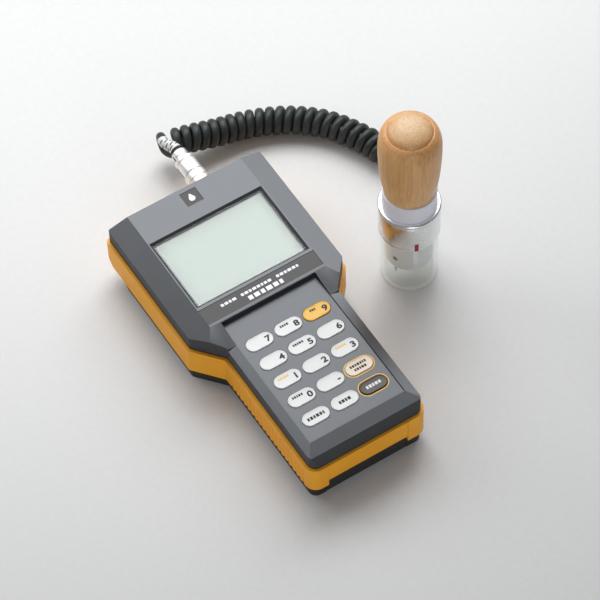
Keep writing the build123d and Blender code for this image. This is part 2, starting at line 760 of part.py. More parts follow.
# ---- write every sub-part ------------------------------------------------------------------------
SUBPARTS = {
    "side_band": make_side_band,
    "bottom_case": make_bottom_case,
    "top_cover": make_top_cover,
    "display_window": make_display_window,
    "lcd_glass": make_lcd_glass,
    "lcd_frame": make_lcd_frame,
    "main_board": make_main_board,
    "key_mat": make_key_mat,
    "keypad_panel": make_keypad_panel,
    "case_screws": make_case_screws,
    "battery_tray": make_battery_tray,
    "battery_cells": make_battery_cells,
    "battery_contacts": make_battery_contacts,
    "battery_door": make_battery_door,
    "battery_door_base": make_battery_door_base,
    "probe_socket": make_probe_socket,
    "socket_nut": make_socket_nut,
    "plug_coupling_ring": make_coupling_ring,
    "plug_barrel": make_plug_barrel,
    "plug_strain_relief": make_strain_relief,
    "wooden_grip": make_wooden_grip,
    "grip_bolt": make_grip_bolt,
    "grip_collar": make_collar,
    "flange_ring": make_flange_ring,
    "probe_housing": make_probe_housing,
    "index_mark": make_index_mark,
    "electrode_block": make_electrode_block,
    "guide_pin": make_guide_pin,
    "clamp_screw": make_clamp_screw,
    "needles": make_needles,
    "needle_nuts": make_needle_nuts,
    "clear_guard": make_clear_guard,
    "guard_spring": make_guard_spring,
    "cable_gland": make_cable_gland,
}
for node, make in SUBPARTS.items():
    save(node, make())

save("label_strip", make_plate(LABEL_HALF, LABEL_FRONT, LABEL_REAR))
save("badge_plate", make_plate(BADGE_HALF, BADGE_FRONT, BADGE_REAR))
save("plug_gland_ring", plug_tube(GLAND_RING_RADIUS, 0, BARREL_END, SLEEVE_START))
save("buzzer", rod(10, BOARD_LOW - 4.5, BOARD_LOW, -20, FRONT + 150))
for name, x, y in key_places():
    save(name, make_key(x, y))

save("cord_plug_lead", routed(PLUG_LEAD, CORD / 2, "plug lead"))
save("cord_coil", routed(COIL_ROUTE, COIL_RADIUS, "coil"))
save("cord_probe_lead", routed(PROBE_LEAD + [gland_mouth()], CORD / 2, "probe lead"))
print("gland mouth", [round(v, 2) for v in gland_mouth()])
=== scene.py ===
import json
from math import cos, pi, radians, sin

import bmesh
import bpy
from mathutils import Matrix, Vector


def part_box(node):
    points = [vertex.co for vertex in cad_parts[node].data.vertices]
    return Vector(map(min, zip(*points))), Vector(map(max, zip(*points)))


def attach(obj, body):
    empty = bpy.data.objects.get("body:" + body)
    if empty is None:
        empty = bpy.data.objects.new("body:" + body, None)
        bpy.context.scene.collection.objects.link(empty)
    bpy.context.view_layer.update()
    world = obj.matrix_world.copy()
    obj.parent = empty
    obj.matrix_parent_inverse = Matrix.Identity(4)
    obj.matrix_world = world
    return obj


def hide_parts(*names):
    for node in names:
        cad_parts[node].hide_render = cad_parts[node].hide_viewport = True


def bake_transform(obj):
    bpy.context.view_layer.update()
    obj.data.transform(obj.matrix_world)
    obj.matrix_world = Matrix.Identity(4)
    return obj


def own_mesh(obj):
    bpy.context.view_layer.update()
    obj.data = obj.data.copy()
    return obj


# A moisture meter with a pin probe on a curly cord, in metres, with +Z up, in the CAD model's frame.
# The meter lies on the floor with its handle towards -Y. The probe stands on its guard beside it.
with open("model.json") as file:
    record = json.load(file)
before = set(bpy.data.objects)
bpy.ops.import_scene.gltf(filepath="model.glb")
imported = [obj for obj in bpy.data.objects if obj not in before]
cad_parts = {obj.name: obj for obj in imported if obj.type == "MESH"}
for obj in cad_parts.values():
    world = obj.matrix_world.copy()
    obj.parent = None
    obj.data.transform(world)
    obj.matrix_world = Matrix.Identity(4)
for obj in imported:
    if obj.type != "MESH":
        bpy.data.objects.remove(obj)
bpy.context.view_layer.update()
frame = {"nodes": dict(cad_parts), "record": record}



def middle_of(node):
    """The middle of a CAD node's box."""
    low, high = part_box(node)
    return (low + high) / 2


def radius_of(node):
    """Half the width of a CAD node that is round seen along Y or Z."""
    low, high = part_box(node)
    return (high.x - low.x) / 2


PLUG_X = 0.0175
PLUG_Z = 0.0234
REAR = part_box("side_band")[1].y
PROBE = Vector((*middle_of("probe_housing").xy, 0))


# ---- camera --------------------------------------------------------------------------------------
AZIMUTH = radians(-30.65)
ELEVATION = radians(56.1)
ROLL = radians(-2.11)
DISTANCE = 2.1588
TARGET = Vector((0.0297, 0.0203, 0))
LENS = 216
SENSOR = 36
NEAREST = 0.05
FURTHEST = 20


def view_axes():
    """The camera's right, up and backward directions."""
    back = Vector((sin(AZIMUTH) * cos(ELEVATION), -cos(AZIMUTH) * cos(ELEVATION), sin(ELEVATION)))
    right = Vector((cos(AZIMUTH), sin(AZIMUTH), 0))
    up = back.cross(right)
    level = right * cos(ROLL) + up * sin(ROLL)
    return level, up * cos(ROLL) - right * sin(ROLL), back


def make_camera():
    """A long lens above and in front of the meter, turned to its left."""
    right, up, back = view_axes()
    data = bpy.data.cameras.new("camera")
    data.lens = LENS
    data.sensor_width = SENSOR
    data.clip_start = NEAREST
    data.clip_end = FURTHEST
    camera = bpy.data.objects.new("camera", data)
    turn = Matrix((right, up, back)).transposed().to_4x4()
    camera.matrix_world = Matrix.Translation(TARGET + back * DISTANCE) @ turn
    bpy.context.scene.collection.objects.link(camera)
    bpy.context.scene.camera = camera


make_camera()


# ---- materials -----------------------------------------------------------------------------------
def grey(level, tint=(1.0, 1.0, 1.0)):
    """A linear colour from one brightness and a tint."""
    return tuple(level * t for t in tint) + (1.0,)


class Shader:
    """A Principled material whose colour, roughness and bump come from noise on the piece."""

    def __init__(self, name, rough=0.5, **settings):
        self.material = bpy.data.materials.new(name)
        self.material.use_nodes = True
        self.tree = self.material.node_tree
        self.bsdf = self.tree.nodes["Principled BSDF"]
        self.output = self.tree.nodes["Material Output"]
        self.bsdf.inputs["Roughness"].default_value = rough
        for label, value in settings.items():
            self.bsdf.inputs[label.replace("_", " ")].default_value = value
        self.place = self.node("ShaderNodeTexCoord").outputs["Object"]
        self.normal = None

    def node(self, kind, **values):
        """A new node of a kind, with its properties set."""
        made = self.tree.nodes.new(kind)
        for label, value in values.items():
            setattr(made, label, value)
        return made

    def link(self, source, target):
        self.tree.links.new(source, target)

    def noise(self, size, stretch=(1, 1, 1), detail=4, rough=0.55, distort=0.0):
        """Noise whose features are about size metres across, longer along the stretched axes."""
        mapping = self.node("ShaderNodeMapping")
        mapping.inputs["Scale"].default_value = [1 / (size * s) for s in stretch]
        self.link(self.place, mapping.inputs["Vector"])
        made = self.node("ShaderNodeTexNoise")
        made.inputs["Scale"].default_value = 1
        made.inputs["Detail"].default_value = detail
        made.inputs["Roughness"].default_value = rough
        made.inputs["Distortion"].default_value = distort
        self.link(mapping.outputs["Vector"], made.inputs["Vector"])
        return made.outputs["Fac"]

    def ramp(self, value, stops):
        """Colours or greys at places along a value."""
        made = self.node("ShaderNodeValToRGB")
        bar = made.color_ramp.elements
        while len(bar) < len(stops):
            bar.new(0.5)
        for element, (place, colour) in zip(bar, stops):
            element.position = place
            element.color = colour if isinstance(colour, tuple) else grey(colour)
        self.link(value, made.inputs["Fac"])
        return made.outputs["Color"]

    def scaled(self, value, low, high, start=0.0, end=1.0):
        """A value that goes from start to end, moved to the range from low to high."""
        made = self.node("ShaderNodeMapRange")
        made.inputs["From Min"].default_value = start
        made.inputs["From Max"].default_value = end
        made.inputs["To Min"].default_value = low
        made.inputs["To Max"].default_value = high
        self.link(value, made.inputs["Value"])
        return made.outputs["Result"]

    def mix(self, share, one, two, blend="MIX"):
        """Two colours mixed, by a fixed or a varying share of the second."""
        made = self.node("ShaderNodeMix", data_type="RGBA", blend_type=blend)
        sockets = [s for s in made.inputs if s.enabled]
        for socket, value in zip(sockets, (share, one, two)):
            if isinstance(value, (int, float, tuple)):
                socket.default_value = value
            else:
                self.link(value, socket)
        return next(s for s in made.outputs if s.enabled)

    def math(self, operation, one, two):
        """A sum, product or power of two numbers or values."""
        made = self.node("ShaderNodeMath", operation=operation)
        for socket, value in zip(made.inputs, (one, two)):
            if isinstance(value, (int, float)):
                socket.default_value = value
            else:
                self.link(value, socket)
        return made.outputs["Value"]

    def axis(self, name):
        """One coordinate of the place on the piece, in metres."""
        made = self.node("ShaderNodeSeparateXYZ")
        self.link(self.place, made.inputs["Vector"])
        return made.outputs[name]

    def speckle(self, patch, grain, dark, light):
        """Colour from broad patches and a fine grain. It gives back the two noises."""
        broad = self.noise(patch, detail=3)
        fine = self.noise(grain, detail=3, rough=0.7)
        self.colour(self.ramp(self.mix(0.35, broad, fine), [(0.3, dark), (0.7, light)]))
        return broad, fine

    def colour(self, source):
        self.link(source, self.bsdf.inputs["Base Color"])

    def roughness(self, source):
        self.link(source, self.bsdf.inputs["Roughness"])

    def bump(self, height, depth):
        """Relief of the given depth in metres, on top of any earlier relief."""
        made = self.node("ShaderNodeBump")
        made.inputs["Distance"].default_value = depth
        self.link(height, made.inputs["Height"])
        if self.normal:
            self.link(self.normal, made.inputs["Normal"])
        self.normal = made.outputs["Normal"]
        self.link(self.normal, self.bsdf.inputs["Normal"])


def moulded(name, dark, light, grain=0.0004, depth=0.00003, rough=(0.42, 0.58), patch=0.02, **settings):
    """Moulded plastic or rubber: faint patches of colour, a fine texture and uneven gloss."""
    shade = Shader(name, **settings)
    broad, fine = shade.speckle(patch, grain, dark, light)
    shade.roughness(shade.scaled(shade.mix(0.5, broad, fine), rough[0], rough[1]))
    shade.bump(fine, depth)
    return shade.material


def painted_cover(name, dark, light):
    """The cover's satin plastic: its level faces are smoother than its sloping and upright ones."""
    shade = Shader(name, Specular_IOR_Level=0.85, Specular_Tint=(0.90, 0.94, 1.0, 1))
    fine = shade.speckle(0.02, 0.0005, dark, light)[1]
    facing = shade.node("ShaderNodeSeparateXYZ")
    shade.link(shade.node("ShaderNodeTexCoord").outputs["Normal"], facing.inputs["Vector"])
    level = shade.ramp(facing.outputs["Z"], [(0.80, 0.60), (0.96, 0.30)])
    shade.roughness(shade.math("ADD", level, shade.scaled(fine, -0.03, 0.05)))
    shade.bump(fine, 0.00001)
    return shade.material


def polished(name, dark, light, rough, size=0.004, depth=0.000004):
    """Plated or machined metal with faint wear."""
    shade = Shader(name, Metallic=1.0)
    wear = shade.noise(size, detail=5, rough=0.6)
    shade.colour(shade.ramp(wear, [(0.3, dark), (0.7, light)]))
    shade.roughness(shade.scaled(wear, rough[0], rough[1]))
    shade.bump(wear, depth)
    return shade.material


def wood():
    """Turned maple: fibres along Z, wider bands, short dark flecks and pores, with painted light by height:
    painted shade near the top and a painted bluish highlight on the dome.
    """
    shade = Shader("maple", Coat_Weight=0.25, Coat_Roughness=0.38)
    bands = shade.noise(0.009, (1, 1, 6), detail=2, distort=0.8)
    fibre = shade.noise(0.0012, (1, 1, 30), detail=5, rough=0.65)
    flecks = shade.noise(0.0012, (1, 1, 9), detail=2, rough=0.5)
    base = shade.ramp(bands, [(0.3, (0.72, 0.40, 0.165, 1)), (0.7, (0.80, 0.50, 0.23, 1))])
    lines = shade.ramp(fibre, [(0.38, (0.74, 0.63, 0.48, 1)), (0.60, (1.0, 1.0, 1.0, 1))])
    spots = shade.ramp(flecks, [(0.28, (0.82, 0.72, 0.60, 1)), (0.38, (1.0, 1.0, 1.0, 1))])
    toned = shade.mix(0.6, base, lines, "MULTIPLY")
    low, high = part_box("wooden_grip")
    # Tint by height: a slight warming upwards, then a darker band near the top, which is painted shade, and
    # a bluish brightening at the very top, which is a painted highlight.
    tint = shade.ramp(shade.scaled(shade.axis("Z"), 0, 1, low.z, high.z), [
        (0.0, (1.0, 0.98, 0.94, 1)), (0.70, (1.0, 0.95, 0.86, 1)), (0.86, (0.98, 0.88, 0.74, 1)),
        (0.925, (0.94, 0.80, 0.64, 1)), (0.96, (0.95, 0.94, 0.98, 1)), (1.0, (0.95, 1.10, 1.38, 1)),
    ])
    flecked = shade.mix(0.5, toned, spots, "MULTIPLY")
    shade.colour(shade.mix(1.0, flecked, tint, "MULTIPLY"))
    shade.roughness(shade.scaled(fibre, 0.52, 0.36))
    shade.bump(fibre, 0.00004)
    shade.bump(flecks, 0.00002)
    return shade.material


def clear(name, tint, edge, grime, faint=0.02, steep=4.0, strong=0.7):
    """Clear plastic: it lets light through, and mirrors faintly head on and strongly at a slant."""
    shade = Shader(name)
    facing = shade.node("ShaderNodeLayerWeight")
    facing.inputs["Blend"].default_value = 0.5
    dust = shade.noise(0.003, detail=5, rough=0.7)
    through = shade.node("ShaderNodeBsdfTransparent")
    shade.link(shade.ramp(facing.outputs["Facing"], [(0.0, tint), (1.0, edge)]), through.inputs["Color"])
    shine = shade.node("ShaderNodeBsdfGlossy")
    shine.inputs["Color"].default_value = (1, 1, 1, 1)
    shade.link(shade.scaled(dust, 0.09, 0.11), shine.inputs["Roughness"])
    slant = shade.math("MULTIPLY", shade.math("POWER", facing.outputs["Facing"], steep), strong)
    share = shade.math("ADD", slant, shade.scaled(dust, faint, faint + grime))
    body = shade.node("ShaderNodeMixShader")
    shade.link(share, body.inputs["Fac"])
    shade.link(through.outputs["BSDF"], body.inputs[1])
    shade.link(shine.outputs["BSDF"], body.inputs[2])
    shade.link(body.outputs["Shader"], shade.output.inputs["Surface"])
    shade.tree.nodes.remove(shade.bsdf)
    return shade.material


def display():
    """The liquid crystal display: pale green-grey, with painted shadow under the window's edges, most at the
    rear and right.
    """
    low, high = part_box("lcd_glass")
    shade = Shader("lcd", rough=0.3, Specular_IOR_Level=0.25)
    across = shade.scaled(shade.axis("X"), 0, 1, low.x, high.x)
    along = shade.scaled(shade.axis("Y"), 0, 1, low.y, high.y)
    # Painted shadow of the window's edges: a little at the left and front, much more at the right and rear.
    side = shade.ramp(across, [(0.0, 0.86), (0.10, 1.0), (0.93, 1.0), (1.0, 0.72)])
    depth = shade.ramp(along, [(0.0, 0.97), (0.10, 1.0), (0.86, 0.95), (1.0, 0.70)])
    grain = shade.noise(0.0006, detail=2)
    base = shade.ramp(grain, [(0.3, (0.41, 0.475, 0.445, 1)), (0.7, (0.43, 0.50, 0.468, 1))])
    shade.colour(shade.mix(1.0, shade.mix(1.0, base, side, "MULTIPLY"), depth, "MULTIPLY"))
    shade.roughness(shade.scaled(grain, 0.34, 0.40))
    shade.bump(grain, 0.0000002)
    return shade.material


COOL = (0.92, 0.98, 1.12)
BLUISH = (0.97, 0.97, 1.08)
MILKY = (0.98, 0.98, 1.03)
CHROMED = (0.98, 1.0, 1.0)
NICKEL = (1.0, 0.995, 0.98)
KEY_FINISH = (0.0003, 0.000006, (0.3, 0.42))
MATERIALS = {
    "cover_grey": painted_cover("cover_grey", grey(0.017, COOL), grey(0.025, COOL)),
    "panel_grey": moulded("panel_grey", grey(0.075, COOL), grey(0.092, COOL), 0.0006, 0.000006,
                          (0.32, 0.40), Specular_IOR_Level=0.65, Specular_Tint=(0.94, 0.97, 1.0, 1)),
    "band_orange": moulded("band_orange", (0.90, 0.37, 0.004, 1), (0.97, 0.43, 0.008, 1), 0.0005, 0.00002),
    "case_black": moulded("case_black", grey(0.012), grey(0.022), 0.0005, 0.00003),
    "key_white": moulded("key_white", grey(0.74), grey(0.82), *KEY_FINISH),
    "key_orange": moulded("key_orange", (0.80, 0.42, 0.02, 1), (0.90, 0.52, 0.05, 1), *KEY_FINISH),
    "key_cream": moulded("key_cream", (0.80, 0.66, 0.52, 1), (0.88, 0.76, 0.62, 1), *KEY_FINISH),
    "key_dark": moulded("key_dark", (0.022, 0.015, 0.010, 1), (0.04, 0.03, 0.022, 1), *KEY_FINISH),
    "plate_dark": moulded("plate_dark", grey(0.022), grey(0.034), 0.0004, 0.00001, (0.4, 0.5)),
    "board_green": moulded("board_green", (0.01, 0.10, 0.03, 1), (0.02, 0.16, 0.06, 1)),
    "mat_rubber": moulded("mat_rubber", grey(0.10), grey(0.14)),
    "cell_jacket": moulded("cell_jacket", (0.02, 0.03, 0.10, 1), (0.03, 0.05, 0.14, 1)),
    "gland_rubber": moulded("gland_rubber", grey(0.010), grey(0.022), 0.0003, 0.00002, (0.5, 0.7)),
    "cord_rubber": moulded("cord_rubber", (0.016, 0.020, 0.020, 1), (0.030, 0.036, 0.036, 1),
                           0.0004, 0.00002, (0.36, 0.52), 0.006),
    "sleeve_white": moulded("sleeve_white", grey(0.74), grey(0.84), 0.0003, 0.00001, (0.35, 0.5)),
    "collar_white": moulded("collar_white", grey(0.84, BLUISH), grey(0.88, BLUISH),
                            0.0006, 0.000005, (0.18, 0.3)),
    "block_white": moulded("block_white", grey(0.86, MILKY), grey(0.90, MILKY),
                           0.0005, 0.00001, (0.3, 0.45)),
    "mark_red": moulded("mark_red", (0.28, 0.006, 0.012, 1), (0.38, 0.010, 0.018, 1),
                        0.0003, 0.00001, (0.25, 0.4)),
    "chrome": polished("chrome", grey(0.86, CHROMED), grey(0.93, CHROMED), (0.20, 0.32)),
    "plug_satin": polished("plug_satin", grey(0.93, NICKEL), grey(0.98, NICKEL),
                           (0.36, 0.46), 0.003, 0.000001),
    "steel": polished("steel", grey(0.45), grey(0.58), (0.2, 0.35)),
    "screw_dark": polished("screw_dark", grey(0.06), grey(0.12), (0.3, 0.5)),
    "brass_nut": polished("brass_nut", (0.55, 0.38, 0.13, 1), (0.68, 0.50, 0.20, 1), (0.18, 0.3)),
    "wood_grip": wood(),
    "lens_clear": clear("lens_clear", (0.99, 0.998, 0.994, 1), (0.95, 0.97, 0.96, 1), 0.01),
    "guard_clear": clear("guard_clear", (0.995, 0.998, 0.995, 1), (0.90, 0.93, 0.90, 1), 0.10),
    "lcd_pale": display(),
}


def refinish(piece, material):
    """Give a piece another material than its slot's."""
    piece.data.materials[0] = MATERIALS[material]


for row in frame["record"]["subparts"]:
    node = frame["nodes"][row["node"]]
    node.data.materials.clear()
    node.data.materials.append(MATERIALS[row["material_slot"]])
refinish(frame["nodes"]["lcd_frame"], "gland_rubber")


# ---- mesh helpers --------------------------------------------------------------------------------
ON_AXIS = 1e-7
WELD = 0.000002
FLAT_ANGLE = 0.6
EVEN_NORMALS = 80


def placed(name, bm, slot, body, smooth=40, *nodes):
    """Turn a bmesh into a piece that rides on a body, takes a slot's finish and may replace CAD nodes."""
    mesh = bpy.data.meshes.new(name)
    bm.to_mesh(mesh)
    bm.free()
    mesh.materials.append(MATERIALS[slot])
    mesh.shade_smooth()
    mesh.set_sharp_from_angle(angle=radians(smooth))
    piece = bpy.data.objects.new(name, mesh)
    bpy.context.scene.collection.objects.link(piece)
    if body:
        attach(piece, body)
    if nodes:
        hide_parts(*nodes)
    return piece


def softened(node, slot, body, width, segments=2, angle=13):
    """A copy of a CAD node's mesh with small rounded edges, in its place."""
    bm = bmesh.new()
    bm.from_mesh(frame["nodes"][node].data)
    bmesh.ops.remove_doubles(bm, verts=bm.verts, dist=WELD)
    bmesh.ops.dissolve_limit(bm, angle_limit=radians(FLAT_ANGLE), verts=bm.verts, edges=bm.edges)
    bmesh.ops.recalc_face_normals(bm, faces=bm.faces)
    piece = placed(node + ".soft", bm, slot, body, angle, node)
    bevel = piece.modifiers.new("edges", "BEVEL")
    bevel.width = width
    bevel.segments = segments
    bevel.limit_method = "ANGLE"
    bevel.angle_limit = radians(angle)
    bevel.miter_outer = "MITER_ARC"
    weighted = piece.modifiers.new("normals", "WEIGHTED_NORMAL")
    weighted.weight = EVEN_NORMALS
    return piece


def lathe(profile, sides=96, ripple=None):
    """A closed solid turned about Z from (radius, height) points.

    ripple(angle, height) adds to the radius.
    """
    bm = bmesh.new()
    rings = []
    for radius, height in profile:
        if radius < ON_AXIS:
            rings.append([bm.verts.new((0, 0, height))])
            continue
        ring = []
        for k in range(sides):
            angle = 2 * pi * k / sides
            reach = radius + (ripple(angle, height) if ripple else 0.0)
            ring.append(bm.verts.new((reach * cos(angle), reach * sin(angle), height)))
        rings.append(ring)
    for low, high in zip(rings, rings[1:] + rings[:1]):
        for k in range(sides):
            below = [low[n % len(low)] for n in (k, k + 1)]
            above = [high[n % len(high)] for n in (k + 1, k)]
            corners = list(dict.fromkeys(below + above))
            if len(corners) > 2:
                bm.faces.new(corners)
    bmesh.ops.recalc_face_normals(bm, faces=bm.faces)
    return bm


def along_plug(bm):
    """Move a shape made about Z so that it lies along the connector's axis, with its Z as Y."""
    turn = Matrix(((1, 0, 0, PLUG_X), (0, 0, 1, 0), (0, -1, 0, PLUG_Z), (0, 0, 0, 1)))
    bmesh.ops.transform(bm, matrix=turn, verts=bm.verts)
    bmesh.ops.recalc_face_normals(bm, faces=bm.faces)
    return bm


def at_probe(bm):
    """Move a shape made about Z to the probe's axis."""
    bmesh.ops.translate(bm, vec=PROBE, verts=bm.verts)
    return bm


def rounded(points, radius, steps=4):
    """The same outline with each corner rounded by about the radius, less where the runs are short."""
    out = []
    for before, here, after in zip([points[-1]] + points[:-1], points, points[1:] + points[:1]):
        here = Vector((*here, 0))
        to_before = Vector((*before, 0)) - here
        to_after = Vector((*after, 0)) - here
        reach = min(radius, 0.45 * to_before.length, 0.45 * to_after.length)
        if reach < WELD / 2 or here.x < ON_AXIS:
            out.append((here.x, here.y))
            continue
        start = here + to_before.normalized() * reach
        end = here + to_after.normalized() * reach
        for n in range(steps + 1):
            t = n / steps
            point = start * (1 - t) ** 2 + here * 2 * t * (1 - t) + end * t * t
            out.append((point.x, point.y))
    return out


def join_rings(bm, one, two):
    """Faces between two rings with as many vertices as each other."""
    count = len(one)
    for k in range(count):
        bm.faces.new((one[k], one[(k + 1) % count], two[(k + 1) % count], two[k]))


def stack_rings(bm, rings):
    """A solid from rings of vertices, one after another, closed at both ends."""
    for one, two in zip(rings, rings[1:]):
        join_rings(bm, one, two)
    bm.faces.new(reversed(rings[0]))
    bm.faces.new(rings[-1])


def tube_mesh(points, radii, sides):
    """A round tube through points, with one radius for each and closed ends."""
    bm = bmesh.new()
    normal = None
    rings = []
    for n, point in enumerate(points):
        ahead = points[min(n + 1, len(points) - 1)] - points[max(n - 1, 0)]
        tangent = ahead.normalized()
        if normal is None:
            normal = tangent.orthogonal().normalized()
        normal = (normal - tangent * normal.dot(tangent)).normalized()
        other = tangent.cross(normal)
        ring = []
        for k in range(sides):
            angle = 2 * pi * k / sides
            offset = normal * cos(angle) + other * sin(angle)
            ring.append(bm.verts.new(point + offset * radii[n]))
        rings.append(ring)
    stack_rings(bm, rings)
    return bm


# ---- curly cord ----------------------------------------------------------------------------------
CORD = 0.0058
COIL_RADIUS = 0.0062
GLAND_MOUTH = Vector((0.1115, 0.02636, 0.06814))
LOOP_CENTRE = (0.0148, 0.1518, 0.0170)
COIL_ROUTE = [
    (0.0265, 0.1494, 0.0178),
    (0.0470, 0.1460, 0.0130),
    (0.0690, 0.1436, 0.00925),
    (0.0915, 0.1334, 0.0092),
    (0.1100, 0.1180, 0.0092),
    (0.1209, 0.0995, 0.0092),
    (0.1279, 0.0830, 0.0092),
    (0.1275, 0.0708, 0.0092),
]
PROBE_LEAD = [
    (0.1252, 0.0580, 0.0098),
    (0.1222, 0.0486, 0.0170),
    (0.1197, 0.0419, 0.0300),
    (0.1184, 0.0386, 0.0460),
    (0.1157, 0.0329, 0.0617),
]
WIRE_START = Vector((PLUG_X, 0.1410, PLUG_Z))
REIN = 0.004
START_STEPS = 12
STEPS_PER_TURN = 24
COIL_LENGTH = 0.1455
EXIT_LENGTH = 0.014
EXIT_STEPS = 40
LEAD_STEPS = 36
TURNS = 24
PITCH_START = 0.0060
PITCH_END = 0.0066
UNDER_PLUG = 0.0060
UNDER_FROM = 0.42
UNDER_TURNS = 0.36
LOOSE_TURN = 0.8
LOOSE_PITCH = 0.0012


def spline_points(route, resolution=40):
    """Points along a route's own smooth NURBS spline."""
    data = bpy.data.curves.new("route", "CURVE")
    data.dimensions = "3D"
    data.resolution_u = resolution
    spline = data.splines.new("NURBS")
    spline.points.add(len(route) - 1)
    for point, place in zip(spline.points, route):
        point.co = (*place, 1)
    spline.order_u = 3
    spline.use_endpoint_u = True
    holder = bpy.data.objects.new("route", data)
    mesh = bpy.data.meshes.new_from_object(holder)
    points = [v.co.copy() for v in mesh.vertices]
    bpy.data.objects.remove(holder)
    bpy.data.curves.remove(data)
    bpy.data.meshes.remove(mesh)
    return points


class Line:
    """A line that can be asked for its place and direction at a distance along it."""

    def __init__(self, points):
        self.points = points
        self.marks = [0.0]
        for one, two in zip(points, points[1:]):
            self.marks.append(self.marks[-1] + (two - one).length)
        self.length = self.marks[-1]

    def at(self, distance):
        """The place at a distance from the start."""
        distance = min(max(distance, 0.0), self.length)
        n = 0
        while n < len(self.marks) - 2 and self.marks[n + 1] < distance:
            n += 1
        span = self.marks[n + 1] - self.marks[n]
        share = (distance - self.marks[n]) / span if span > 0 else 0.0
        return self.points[n].lerp(self.points[n + 1], share)

    def direction(self, distance, reach=0.003):
        """The direction there, from places a reach before and after."""
        return (self.at(distance + reach) - self.at(distance - reach)).normalized()


def smoothstep(value):
    """A value from 0 to 1 that starts and ends gently."""
    value = min(max(value, 0.0), 1.0)
    return value * value * (3 - 2 * value)


def coil_advance(turn):
    """How far along the axis the wire is after some turns: the first turn passes under the plug."""
    below = UNDER_PLUG * smoothstep((turn - UNDER_FROM) / UNDER_TURNS)
    first = LOOSE_PITCH * min(turn, LOOSE_TURN)
    rest = max(turn - LOOSE_TURN, 0.0)
    return below + first + PITCH_START * rest + (PITCH_END - PITCH_START) * rest * rest / (2 * TURNS)


def cord_path():
    """The wire's line from the plug: straight out, round the coil's turns, and up to the probe."""
    route = [LOOP_CENTRE] + COIL_ROUTE + PROBE_LEAD + [tuple(GLAND_MOUTH)]
    axis = Line(spline_points(route))

    def around(travel, angle, radius):
        """The wire's centre at a distance along the axis and an angle from the top."""
        tangent = axis.direction(travel)
        upward = (Vector((0, 0, 1)) - tangent * tangent.z).normalized()
        inward = tangent.cross(upward)
        return axis.at(travel) + (upward * cos(angle) - inward * sin(angle)) * radius

    loop_top = around(0, 0, COIL_RADIUS)
    away = (around(0, 0.01, COIL_RADIUS) - loop_top).normalized()
    reins = [WIRE_START, WIRE_START + Vector((0, REIN, 0)), loop_top - away * REIN, loop_top]
    path = []
    for n in range(START_STEPS):
        t = n / START_STEPS
        shares = ((1 - t) ** 3, 3 * t * (1 - t) ** 2, 3 * t * t * (1 - t), t ** 3)
        path.append(sum((point * share for point, share in zip(reins, shares)), Vector()))
    turns = 0.0
    while coil_advance(turns) < COIL_LENGTH:
        path.append(around(coil_advance(turns), 2 * pi * turns, COIL_RADIUS))
        turns += 1 / STEPS_PER_TURN
    start = coil_advance(turns)
    spin = EXIT_LENGTH / (2 * PITCH_END)
    for n in range(EXIT_STEPS):
        share = n / EXIT_STEPS
        angle = 2 * pi * (turns + spin * (2 * share - share * share))
        path.append(around(start + EXIT_LENGTH * share, angle, COIL_RADIUS * (1 - smoothstep(share))))
    start += EXIT_LENGTH
    for n in range(LEAD_STEPS + 1):
        path.append(axis.at(start + (axis.length - start) * n / LEAD_STEPS))
    return path


wire_path = cord_path()
wire = Line(wire_path)


def make_cord():
    """The wire as one smooth rubber tube, from the probe to the plug."""
    points = list(reversed(wire_path))
    bm = tube_mesh(points, [CORD / 2] * len(points), 16)
    nodes = ("cord_plug_lead", "cord_coil", "cord_probe_lead")
    return placed("curly_cord", bm, "cord_rubber", None, 60, *nodes)


cord = make_cord()


# ---- rear connector ------------------------------------------------------------------------------
RING_RADIUS = radius_of("plug_coupling_ring") + 0.0003
RING_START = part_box("plug_coupling_ring")[0].y
RING_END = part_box("plug_coupling_ring")[1].y
BARREL_RADIUS = radius_of("plug_barrel")
BARREL_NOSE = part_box("plug_barrel")[0].y
BARREL_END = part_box("plug_barrel")[1].y
TAIL_RADIUS = 0.0051
SEAL_RADIUS = 0.0043
SLEEVE_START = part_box("plug_strain_relief")[0].y
SLEEVE_LENGTH = 0.0118
SLEEVE_RADIUS = 0.0039
SLEEVE_TAPER = 0.0006
KNURLS = 18
KNURL_DEPTH = 0.00022


def make_coupling_ring():
    """The locking ring: a knurled half next to the meter, then a smooth half."""
    knurl_end = RING_START + 0.0085
    knurl_length = knurl_end - RING_START - 0.0008
    steps = 12
    profile = [(0.0055, RING_START), (RING_RADIUS - 0.0003, RING_START)]
    for n in range(steps + 1):
        profile.append((RING_RADIUS - 0.0001, RING_START + 0.0004 + knurl_length * n / steps))
    profile += [
        (RING_RADIUS - 0.0005, knurl_end),
        (RING_RADIUS - 0.0005, knurl_end + 0.0005),
        (RING_RADIUS, knurl_end + 0.0008),
        (RING_RADIUS, RING_END - 0.0007),
        (RING_RADIUS - 0.0006, RING_END),
        (0.0046, RING_END),
        (0.0046, RING_END - 0.0025),
        (0.0055, RING_END - 0.0025),
    ]

    def knurl(angle, height):
        """Two crossed sets of slanting grooves."""
        if not RING_START + 0.0003 < height < knurl_end - 0.0003:
            return 0.0
        turn = 0.9 * (height - RING_START) / RING_RADIUS
        return -KNURL_DEPTH * abs(sin(KNURLS * (angle + turn))) * abs(sin(KNURLS * (angle - turn))) ** 0.5

    bm = along_plug(lathe(profile, 144, knurl))
    piece = placed("coupling_ring_shell", bm, "chrome", "coupling_ring", 35, "plug_coupling_ring")
    refinish(piece, "plug_satin")
    return piece


